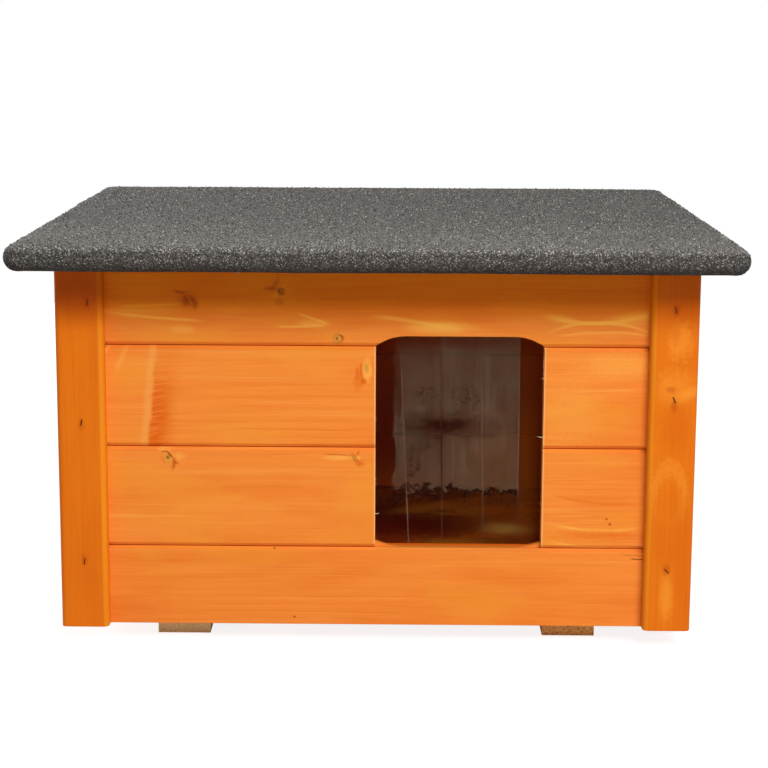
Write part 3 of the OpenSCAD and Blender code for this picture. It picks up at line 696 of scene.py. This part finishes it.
def felt_material():
    """Mineral felt: mixed grey granules in bitumen; barer and darker round its bent edge, partly as painted
    shade, and darker below as painted shade.
    """
    g = Graph("mineral_felt")
    low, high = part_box("roof_felt")
    middle = (low + high) / 2
    height = g.minus(g.line(g.y, math.tan(ROOF_FALL), g.z), middle.z)
    grain = g.node("TexVoronoi", {"Vector": g.place, "Scale": 1250.0, "Randomness": 1.0})
    tone = g.node("SeparateColor", {0: grain.outputs["Color"]}).outputs
    granules = g.ramp(tone[0], (0.0, srgb(40, 38, 36)), (0.5, srgb(88, 85, 82)),
                      (0.82, srgb(126, 122, 118)), (0.97, srgb(210, 206, 200)))
    tint = g.mix(g.times(tone[1], 0.35), granules, srgb(98, 94, 90))
    broad = g.noise((11, 11, 11), 3.0, detail=3.0)
    tint = g.mix(g.times(g.smooth(broad, 0.4, 0.75), 0.25), tint, srgb(92, 89, 86))
    # Lighter towards the roof's front
    towards_front = g.times(g.smooth(g.y, 0.0, -0.24), 0.22)
    tint = g.mix(towards_front, tint, FRONT_LIGHTENING, "MULTIPLY")
    # Darker round the bent edge: barer bitumen, and painted shade on the edge that faces forward
    bare = g.times(g.smooth(height, FELT_HALF_T - 1 * MM, FELT_HALF_T - 7 * MM), 0.8)
    bitumen = g.ramp(tone[0], (0.0, srgb(30, 27, 25)), (0.7, srgb(64, 60, 56)),
                     (0.92, srgb(94, 89, 83)), (0.99, srgb(150, 144, 136)))
    tint = g.mix(bare, tint, bitumen)
    # Painted shade: darker towards the underside
    underside_shade = g.times(g.smooth(height, 2 * MM, -FELT_HALF_T), 0.7)
    tint = g.mix(underside_shade, tint, srgb(34, 31, 28))
    bump = g.bump(g.times(grain.outputs["Distance"], -1.0), 0.4, 0.5 * MM)
    return g.surface(tint, 0.9, 0.15, Normal=bump)


def granule_material():
    """Crushed stone, each grain of its own grey, with darker grains on steep faces as painted shade."""
    g = Graph("felt_granule")
    tone = g.node("Attribute", attribute_name="tone").outputs["Fac"]
    colour = g.ramp(tone, (0.0, srgb(34, 32, 30)), (0.5, srgb(88, 85, 82)), (0.8, srgb(146, 142, 138)),
                    (1.0, srgb(240, 236, 230)))
    fleck = g.noise((2600, 2600, 2600), 1.0)
    return g.surface(g.mix(g.times(fleck, 0.3), colour, srgb(84, 78, 70)), 0.75, 0.2)


def make_granules(skin):
    """Loose stone grains pressed into the felt where it faces up."""
    chance = random.Random(11)
    faces = [face for face in skin.data.polygons if face.normal.z > 0.25]
    areas = [face.area for face in faces]
    corners, triangles, tones = [], [], []
    for face in chance.choices(faces, areas, k=GRANULES):
        ring = [skin.data.vertices[i].co for i in face.vertices[:]]
        anchor = chance.randrange(1, len(ring) - 1)
        a, b = sorted((chance.random(), chance.random()))
        centre = ring[0] * a + ring[anchor] * (b - a) + ring[anchor + 1] * (1 - b)
        size = chance.uniform(*GRANULE_SIZE)
        side = face.normal.orthogonal().normalized()
        other = face.normal.cross(side)
        turn = chance.uniform(0, math.tau)
        first = len(corners)
        for step in range(3):
            angle = turn + step * math.tau / 3 + chance.uniform(-0.4, 0.4)
            reach = size * chance.uniform(0.8, 1.2)
            corners.append(centre + (side * math.cos(angle) + other * math.sin(angle)) * reach
                           - face.normal * GRANULE_SUNK)
        lean = (side * chance.uniform(-0.4, 0.4) + other * chance.uniform(-0.4, 0.4)) * size
        corners.append(centre + lean + face.normal * size * chance.uniform(0.7, 1.3))
        triangles += [(first, first + 1, first + 3), (first + 1, first + 2, first + 3),
                      (first + 2, first, first + 3), (first + 2, first + 1, first)]
        # Painted shade: grains on steeper faces, such as the roof's front edge, get darker tones
        flat = max(0.0, face.normal.z - 0.55) / 0.45
        tones += [chance.random() ** 1.3 * (0.4 + 0.6 * flat)] * 4
    data = bpy.data.meshes.new("felt_granules")
    data.from_pydata(corners, [], triangles)
    data.attributes.new("tone", "FLOAT", "FACE").data.foreach_set("value", tones)
    data.materials.append(granule_material())
    granules = bpy.data.objects.new("felt_granules", data)
    bpy.context.scene.collection.objects.link(granules)
    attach(granules, "roof")


def rounded_ring(half_w, half_d, radius):
    """Points round a rounded rectangle, as many for every size."""
    def corner(turn):
        return Vector(((half_w - radius) * (1 if turn % 4 in (0, 3) else -1),
                       (half_d - radius) * (1 if turn % 4 in (0, 1) else -1)))

    def around(angle):
        return Vector((math.cos(angle), math.sin(angle))) * radius

    points = []
    for turn in range(4):
        start = turn * math.pi / 2
        for i in range(CORNER_STEPS + 1):
            points.append(corner(turn) + around(start + i * math.pi / 2 / CORNER_STEPS))
        first, last = points[-1], corner(turn + 1) + around(start + math.pi / 2)
        steps = LONG_STEPS if turn in (0, 2) else SHORT_STEPS
        points += [first.lerp(last, i / steps) for i in range(1, steps)]
    return points


def felt_section():
    """The felt from the middle of the roof round its edge, as distances in from the edge and heights."""
    top_rings, edge_rings, under_rings = 26, 10, 11
    inmost = FELT_HALF_D - 4 * MM
    section = []
    for i in range(top_rings):
        section.append((inmost + (FELT_HALF_T - inmost) * i / top_rings, FELT_HALF_T))
    for i in range(edge_rings + 1):
        angle = math.pi * i / edge_rings
        section.append((FELT_HALF_T - FELT_HALF_T * math.sin(angle), FELT_HALF_T * math.cos(angle)))
    for i in range(1, under_rings + 1):
        section.append((FELT_HALF_T + (FELT_RETURN - FELT_HALF_T) * i / under_rings, -FELT_HALF_T))
    return section


def felt_wave(point, inset, height, half_w):
    """A point of the felt with its slow waves, and pleats where the corners are gathered under."""
    place = Vector((point.x, point.y, height))
    wave = noise.noise(place * 9) * 0.5 * MM + noise.noise(place * 31 + Vector((3, 7, 1))) * 0.22 * MM
    edge = max(0.0, 1 - inset / (30 * MM))
    corner = Vector((abs(point.x) - (half_w - ROOF_CORNER), abs(point.y) - (FELT_HALF_D - ROOF_CORNER)))
    if height < 0 and corner.x > -6 * MM and corner.y > -6 * MM:
        angle = math.atan2(corner.y, corner.x)
        wave += 0.5 * MM * math.sin(14 * angle) * min(1.0, -height / (6 * MM))
    outwards = Vector((0.0, 0.0, height / abs(height) if height else 0.0))
    if inset < 12 * MM:
        outwards.x = point.x / half_w
        outwards.y = point.y / FELT_HALF_D
    lift = wave * (0.6 + 0.4 * edge)
    return place + outwards * lift


def make_felt():
    """The felt as one soft skin over the deck: wavy on top, pleated under the corners."""
    low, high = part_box("roof_felt")
    middle = (low + high) / 2
    half_w = (high.x - low.x) / 2
    mesh = bmesh.new()
    rings = []
    tilt = Matrix.Rotation(-ROOF_FALL, 3, "X")
    for inset, height in felt_section():
        radius = max(ROOF_CORNER - inset, 4 * MM)
        rings.append([mesh.verts.new(middle + tilt @ felt_wave(point, inset, height, half_w))
                      for point in rounded_ring(half_w - inset, FELT_HALF_D - inset, radius)])
    mesh.faces.new(rings[0])
    for outer, inner in zip(rings, rings[1:]):
        for i in range(len(outer)):
            j = (i + 1) % len(outer)
            mesh.faces.new((outer[i], inner[i], inner[j], outer[j]))
    bmesh.ops.recalc_face_normals(mesh, faces=mesh.faces)
    skin = add_mesh("felt_wrap", mesh, felt_material(), smooth=True)
    thick = skin.modifiers.new("felt thickness", "SOLIDIFY")
    thick.thickness = 2.6 * MM
    thick.offset = -1
    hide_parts("roof_felt")
    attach(skin, "roof")
    make_granules(skin)


def add_mesh(name, mesh, *materials, smooth=False):
    """A new object from a bmesh."""
    data = bpy.data.meshes.new(name)
    mesh.to_mesh(data)
    mesh.free()
    for material in materials:
        data.materials.append(material)
    if smooth:
        data.polygons.foreach_set("use_smooth", [True] * len(data.polygons))
    made = bpy.data.objects.new(name, data)
    bpy.context.scene.collection.objects.link(made)
    return made


# Clear curtain

# Shift of the sheet's left side, its slits and its right side from their even places, at the bend line
# and at the foot, in millimetres
SIDE_TOP = (0.0, -3.0, -2.1, -1.0, -1.7, 0.0)
SIDE_FOOT = (0.0, 6.5, 1.3, 3.5, -1.0, 0.0)
# How pale each slit's edges shine beside the painted reflection and below it, and how dark they are
SLIT_GLINT = (0.38, 0.06, 0.34, 0.38)
SLIT_GLINT_BELOW = (0.42, 0.18, 0.2, 0.12)
SLIT_DARK = (0.0, 0.5, 0.0, 0.0)
STRIPS = 5
STRIP_ROWS = 40
STRIP_T = 1.8 * MM
CHAMFER = 0.5 * MM
# How far each strip bows inwards, and how far its foot hangs inwards, in millimetres
STRIP_BOW = (0.8, 1.6, 1.1, 1.9, 0.9)
STRIP_LIFT = (0.6, 2.2, 1.4, 1.8, 0.8)
STRIP_CUP = 0.35 * MM
STRIP_INSET = 0.1 * MM
# Height of the painted reflection's ragged low edge, and where its right side ends
REFLECTION_FOOT = 136 * MM
REFLECTION_RIGHT = 125.4 * MM
# Dark marks in the painted reflection, by place and size in millimetres, and strength
DARK_BLOTCHES = (((60, 195), (52, 14), 0.42), ((58, 196), (32, 9.5), 0.8))
DARK_WORM_PATCHES = (((43, 223), (11, 8), 0.5), ((79, 219), (13, 13), 0.5), ((41, 176), (12, 6), 0.3),
            ((32, 158), (6, 11), 0.5))
# Grey of the painted reflection
REFLECTION_GREY = srgb(172, 166, 136)
# Dark of the marks in the painted reflection and of the second slit
DARK_MARK_TONE = srgb(38, 7, 1)
# Orange tint at the curtain's lower right
ORANGE_TINT = srgb(203, 101, 4)
GLARE = srgb(190, 158, 76)
CUT_DIM, CUT_BRIGHT = srgb(188, 156, 134), srgb(214, 190, 168)


def spread(g, at, size):
    """Distance from a place on the curtain, in sizes."""
    return g.length(g.times(g.minus(g.x, at[0] * MM), 1 / (size[0] * MM)),
                    g.times(g.minus(g.z, at[1] * MM), 1 / (size[1] * MM)))


def reflection_dark_marks(g):
    """Dark marks in the painted reflection, from 0 to 1: a long blotch, and patches of wormy lines."""
    ruffle = g.sway((80, 80, 200), 11.0, detail=5.0, roughness=0.6)
    marks = 0.0
    for at, size, strength in DARK_BLOTCHES:
        away = g.line(ruffle, 1.5, spread(g, at, size))
        marks = g.math("MAXIMUM", marks, g.times(g.smooth(away, 1.35, 0.0), strength))
    worm = g.math("ABSOLUTE", g.sway((150, 150, 210), 12.0, detail=3.0))
    fold = g.smooth(worm, 0.05, 0.0)
    for at, size, strength in DARK_WORM_PATCHES:
        away = g.line(ruffle, 2.2, spread(g, at, size))
        marks = g.math("MAXIMUM", marks, g.times(fold, g.smooth(away, 1.4, 0.5), strength))
    return marks


def reflection_outline(g):
    """1 on the painted reflection and 0 beside it, with the height above its ragged low edge."""
    fold = g.sway((70, 70, 45), 2.0, detail=3.0)
    edge_noise = g.sway((110, 60, 130), 5.0, detail=5.0, roughness=0.65)
    x = g.line(edge_noise, 10 * MM, g.line(fold, 14 * MM, g.x))
    z = g.line(edge_noise, 44 * MM, g.minus(g.z, REFLECTION_FOOT))
    painted_reflection = g.times(g.smooth(x, 15 * MM, 17 * MM), g.smooth(g.x, REFLECTION_RIGHT, REFLECTION_RIGHT - 0.8 * MM),
                   g.smooth(z, -1 * MM, 1 * MM))
    return painted_reflection, z


def reflection_density(g):
    """How strong the painted reflection lies, about 1: clouds, streaks and specks, weaker at the upper left.
    """
    cloud = g.noise((42, 42, 26), 8.0, detail=5.0, roughness=0.6)
    streak = g.noise((520, 520, 9), 4.0, detail=4.0, roughness=0.7)
    speck = g.noise((560, 560, 560), 6.0, detail=2.0)
    loose = g.line(g.minus(cloud, 0.5), 40 * MM, g.z)
    first = g.times(g.smooth(g.x, 22.5 * MM, 21 * MM), g.smooth(loose, 204 * MM, 212 * MM))
    head = g.times(g.smooth(g.x, 57 * MM, 52 * MM), g.smooth(loose, 226 * MM, 282 * MM))
    weaker = g.times(g.math("MAXIMUM", first, head), 0.65)
    reflection_strength = g.times(g.line(g.smooth(cloud, 0.3, 0.7), 0.55, 0.66),
                      g.line(g.smooth(streak, 0.35, 0.65), 0.7, 0.68),
                      g.line(g.smooth(speck, 0.35, 0.65), 0.5, 0.75), g.minus(1.0, weaker))
    return reflection_strength, cloud


def reflection_edge_dark(g, above):
    """Dark shreds along the painted reflection's ragged low edge, from 0 to 1."""
    shreds = g.smooth(g.noise((130, 90, 190), 17.0, detail=5.0, roughness=0.65), 0.36, 0.46)
    reach = g.line(g.smooth(g.x, 66 * MM, 40 * MM), -4 * MM, -2 * MM)
    return g.times(g.smooth(g.minus(above, reach), -1.5 * MM, 1 * MM), g.smooth(above, 4 * MM, 1 * MM),
                   g.smooth(g.x, 13 * MM, 18 * MM), g.smooth(g.x, REFLECTION_RIGHT, REFLECTION_RIGHT - 1.4 * MM), shreds)


def pvc():
    """Clear soft plastic, tinted orange at the lower right, with a painted reflection over its middle: a grey
    film with dark marks.
    """
    g = Graph("clear_pvc")
    painted_reflection, above = reflection_outline(g)
    reflection_strength, cloud = reflection_density(g)
    dark = g.math("MAXIMUM", g.times(reflection_dark_marks(g), painted_reflection), reflection_edge_dark(g, above))
    kept = g.minus(1.0, dark)
    # The painted reflection's cover
    grey = g.line(g.times(painted_reflection, reflection_strength, g.math("POWER", kept, 2.2)), 0.06, 0.003)
    # Dark marks in the painted reflection
    painted_dark = g.times(dark, 0.6)
    # An orange tint at the lower right and along the right side
    warm = g.times(g.smooth(g.z, 240 * MM, 165 * MM), g.smooth(g.x, 40 * MM, 110 * MM))
    tinted = g.line(g.times(warm, kept), 0.036, g.times(g.smooth(g.x, 124 * MM, 128 * MM), 0.02))
    away = spread(g, (114, 102), (30, 7))
    glare = g.times(g.smooth(g.line(cloud, 1.4, away), 1.8, 0.7), 0.085)
    # Each coat takes its share of the cover so far
    colour, alpha = REFLECTION_GREY, grey
    for coat, tone in ((painted_dark, DARK_MARK_TONE), (tinted, ORANGE_TINT), (glare, GLARE)):
        alpha = g.sum(alpha, coat)
        colour = g.mix(g.math("DIVIDE", coat, alpha), colour, tone)
    return g.surface(colour, g.line(cloud, 0.2, 0.08), 0.06, Alpha=alpha, Normal=g.bump(cloud, 0.2, 0.6 * MM))


def pvc_cut(slit):
    """The cut edges at a slit, which catch the light as a pale line or are dark."""
    g = Graph(f"clear_pvc_cut_{slit + 1}")
    uneven = g.noise((40, 40, 26), 9.0 + slit, detail=3.0)
    beside = g.smooth(g.z, REFLECTION_FOOT - 8 * MM, REFLECTION_FOOT + 4 * MM)
    shine = g.line(beside, SLIT_GLINT[slit] - SLIT_GLINT_BELOW[slit], SLIT_GLINT_BELOW[slit])
    faded = g.line(g.smooth(g.z, 262 * MM, 220 * MM), 0.7, 0.3)
    # Dark in the second slit
    slit_dark = g.times(beside, g.smooth(g.z, 200 * MM, 188 * MM), SLIT_DARK[slit])
    alpha = g.sum(g.times(shine, uneven, faded), slit_dark, 0.002)
    pale = g.mix(uneven, CUT_DIM, CUT_BRIGHT)
    return g.surface(g.mix(g.math("DIVIDE", slit_dark, alpha), pale, DARK_MARK_TONE), 0.4, 0.1, Alpha=alpha)


def make_strip(number, clear, cuts):
    """One strip of the slit sheet, hung from the bend line, a little bowed and hand cut."""
    node = f"curtain_strip_{number}"
    low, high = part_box(node)
    closing = 0.25 * MM
    even_left, even_right = low.x - closing, high.x + closing
    left_top, right_top = even_left + SIDE_TOP[number - 1] * MM, even_right + SIDE_TOP[number] * MM
    left_foot, right_foot = even_left + SIDE_FOOT[number - 1] * MM, even_right + SIDE_FOOT[number] * MM
    top, foot = right_top - left_top, right_foot - left_foot
    edge = CHAMFER / top
    shares = [0.0, edge] + [i / 8 for i in range(1, 8)] + [1 - edge, 1.0]
    mesh = bmesh.new()
    # Points round the strip at each height: along the front from the left, and back behind it
    rings = []
    for row in range(STRIP_ROWS + 1):
        t = row / STRIP_ROWS
        z = high.z + (low.z - high.z) * t
        left = left_top + (left_foot - left_top) * t
        right = right_top + (right_foot - right_top) * t
        bow = STRIP_BOW[number - 1] * MM * math.sin(math.pi * t)
        lift = STRIP_LIFT[number - 1] * MM * t * t
        ring = []
        for depth, line in ((0.0, shares), (STRIP_T, shares[::-1])):
            for u in line:
                cup = STRIP_CUP * (1 - (2 * u - 1) ** 2) * t
                cut_back = CHAMFER if depth == 0.0 and u in (0.0, 1.0) else 0.0
                y = low.y + STRIP_INSET + depth + cup + bow + lift + cut_back
                ring.append(mesh.verts.new((left + (right - left) * u, y, z)))
        rings.append(ring)
    flat, left_cut, right_cut = 0, 1, 2
    columns = len(shares) - 1
    looks = [left_cut] + [flat] * (columns - 2) + [right_cut] * 2 + [flat] * columns + [left_cut]
    for upper, lower in zip(rings, rings[1:]):
        for i, look in enumerate(looks):
            j = (i + 1) % len(looks)
            face = mesh.faces.new((upper[i], lower[i], lower[j], upper[j]))
            face.material_index = look
            face.smooth = look == flat
    for ring in (rings[0], rings[-1]):
        for i in range(columns):
            face = mesh.faces.new((ring[i], ring[i + 1], ring[-2 - i], ring[-1 - i]))
            face.material_index = left_cut
    bmesh.ops.recalc_face_normals(mesh, faces=mesh.faces)
    strip = add_mesh(f"clear_strip_{number}", mesh, clear,
                     cuts[max(number - 2, 0)], cuts[min(number - 1, STRIPS - 2)])
    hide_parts(node)
    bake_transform(strip)


def make_curtain():
    """The five strips, and the look of the header that they hang from."""
    clear = pvc()
    cuts = [pvc_cut(slit) for slit in range(STRIPS - 1)]
    for number in range(1, STRIPS + 1):
        make_strip(number, clear, cuts)
    wear("curtain_header", clear)


def make_fibres():
    """Torn fibres that the saw left along the doorway's sides."""
    chance = random.Random(7)
    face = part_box("front_board_1")[0].y
    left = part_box("front_board_2_left")[1].x
    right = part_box("front_board_2_right")[0].x
    mesh = bmesh.new()
    # Side, height and reach into the doorway, in millimetres
    places = [(right, 190, -6.0), (right, 243, -3.0), (left, 120.5, 4.0), (left, 148, 1.6),
              (left, 152, 1.2), (left, 205, 1.4), (right, 130, -1.5)]
    places += [(right, chance.uniform(246, 264), -chance.uniform(0.8, 2.0)) for _ in range(9)]
    for x, z, reach in places:
        root = Vector((x, face + chance.uniform(0.3, 2.5) * MM, z * MM))
        tip = root + Vector((reach, chance.uniform(-0.6, 0.6), chance.uniform(-1.2, 1.2))) * MM
        middle = root.lerp(tip, 0.5) + Vector((0, 0, chance.uniform(-0.5, 0.5) * MM))
        wide = chance.uniform(0.2, 0.42) * MM
        rims = []
        for point, size in ((root, wide), (middle, wide * 0.7)):
            rims.append([mesh.verts.new(point + Vector((0, math.cos(a), math.sin(a))) * size)
                         for a in (0, 2.1, 4.2)])
        end = mesh.verts.new(tip)
        mesh.faces.new(rims[0])
        for i in range(3):
            j = (i + 1) % 3
            mesh.faces.new((rims[0][i], rims[0][j], rims[1][j], rims[1][i]))
            mesh.faces.new((rims[1][i], rims[1][j], end))
    bmesh.ops.recalc_face_normals(mesh, faces=mesh.faces)
    grain = Pine("saw_fibre_wood", LYING_X, (0.0, 0.0), 91, FIBRE_TONES)
    fibres = add_mesh("saw_fibres", mesh, grain.raw(grey=0.0))
    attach(fibres, "house")


# Stage

def seen_directly(g):
    """1 for rays from the camera, a reflection or a clear sheet, where the background is white."""
    path = g.node("LightPath").outputs
    seen = g.math("MAXIMUM", path["Is Camera Ray"], path["Is Glossy Ray"])
    return g.math("MAXIMUM", seen, path["Is Transmission Ray"])


def make_stage():
    """A pale floor that keeps the shadow, under a white studio sky."""
    mesh = bmesh.new()
    bmesh.ops.create_grid(mesh, x_segments=1, y_segments=1, size=FLOOR_HALF)
    g = Graph("studio_floor")
    plain = g.node("BsdfDiffuse", {"Color": FLOOR_PALE}).outputs[0]
    lit = g.node("BsdfDiffuse", {"Color": FLOOR_LIT}).outputs[0]
    glow = g.node("Emission", {"Color": WHITE, "Strength": FLOOR_GLOW}).outputs[0]
    white = g.node("AddShader", {0: lit, 1: glow}).outputs[0]
    floor = add_mesh("studio_floor", mesh, g.finish(
        g.node("MixShader", {0: seen_directly(g), 1: plain, 2: white}).outputs[0]))

    g = Graph("studio", "World")
    soft = g.node("Background", {"Color": WHITE, "Strength": AMBIENT}).outputs[0]
    white = g.node("Background", {"Color": WHITE, "Strength": 1.0}).outputs[0]
    both = g.node("MixShader", {0: seen_directly(g), 1: soft, 2: white}).outputs[0]
    bpy.context.scene.world = g.finish(both)


def direction(azimuth, elevation):
    """The way to a place by its azimuth to the right of the front and its elevation."""
    return Vector((math.sin(azimuth) * math.cos(elevation), -math.cos(azimuth) * math.cos(elevation),
                   math.sin(elevation)))


def make_lamp(name, azimuth, elevation, power, size):
    """A large soft lamp, turned to the house and hidden from the camera."""
    lamp = bpy.data.lights.new(name, "AREA")
    lamp.shape = "RECTANGLE"
    lamp.size, lamp.size_y = size
    lamp.energy = power
    placed = bpy.data.objects.new(name, lamp)
    towards = direction(azimuth, elevation)
    placed.location = Vector(LAMP_AIM) + towards * LAMP_DISTANCE
    placed.rotation_euler = towards.to_track_quat("Z", "Y").to_euler()
    placed.visible_camera = False
    bpy.context.scene.collection.objects.link(placed)


def make_camera():
    """The photo's camera."""
    data = bpy.data.cameras.new("camera")
    data.sensor_width = SENSOR_MM
    data.lens = FOCAL_PX / FRAME_PX * SENSOR_MM
    data.shift_y = -SHIFT_PX / FRAME_PX
    camera = bpy.data.objects.new("camera", data)
    back = direction(-CAMERA_RIGHT, CAMERA_DOWN)
    right = Vector((math.cos(CAMERA_RIGHT), -math.sin(CAMERA_RIGHT), 0))
    up = back.cross(right)
    cos, sin = math.cos(CAMERA_ROLL), math.sin(CAMERA_ROLL)
    turned = Matrix((right * cos + up * sin, up * cos - right * sin, back)).transposed()
    camera.matrix_world = Matrix.Translation(CAMERA_AT) @ turned.to_4x4()
    bpy.context.scene.collection.objects.link(camera)
    bpy.context.scene.camera = camera


make_camera()
make_lamp("key", *KEY)
make_lamp("back_fill", *BACK_FILL)
make_stage()
dress_boards()
dress_raw_wood()
dress_metal()
make_felt()
make_curtain()
make_fibres()
bpy.context.scene.view_settings.view_transform = "Standard"
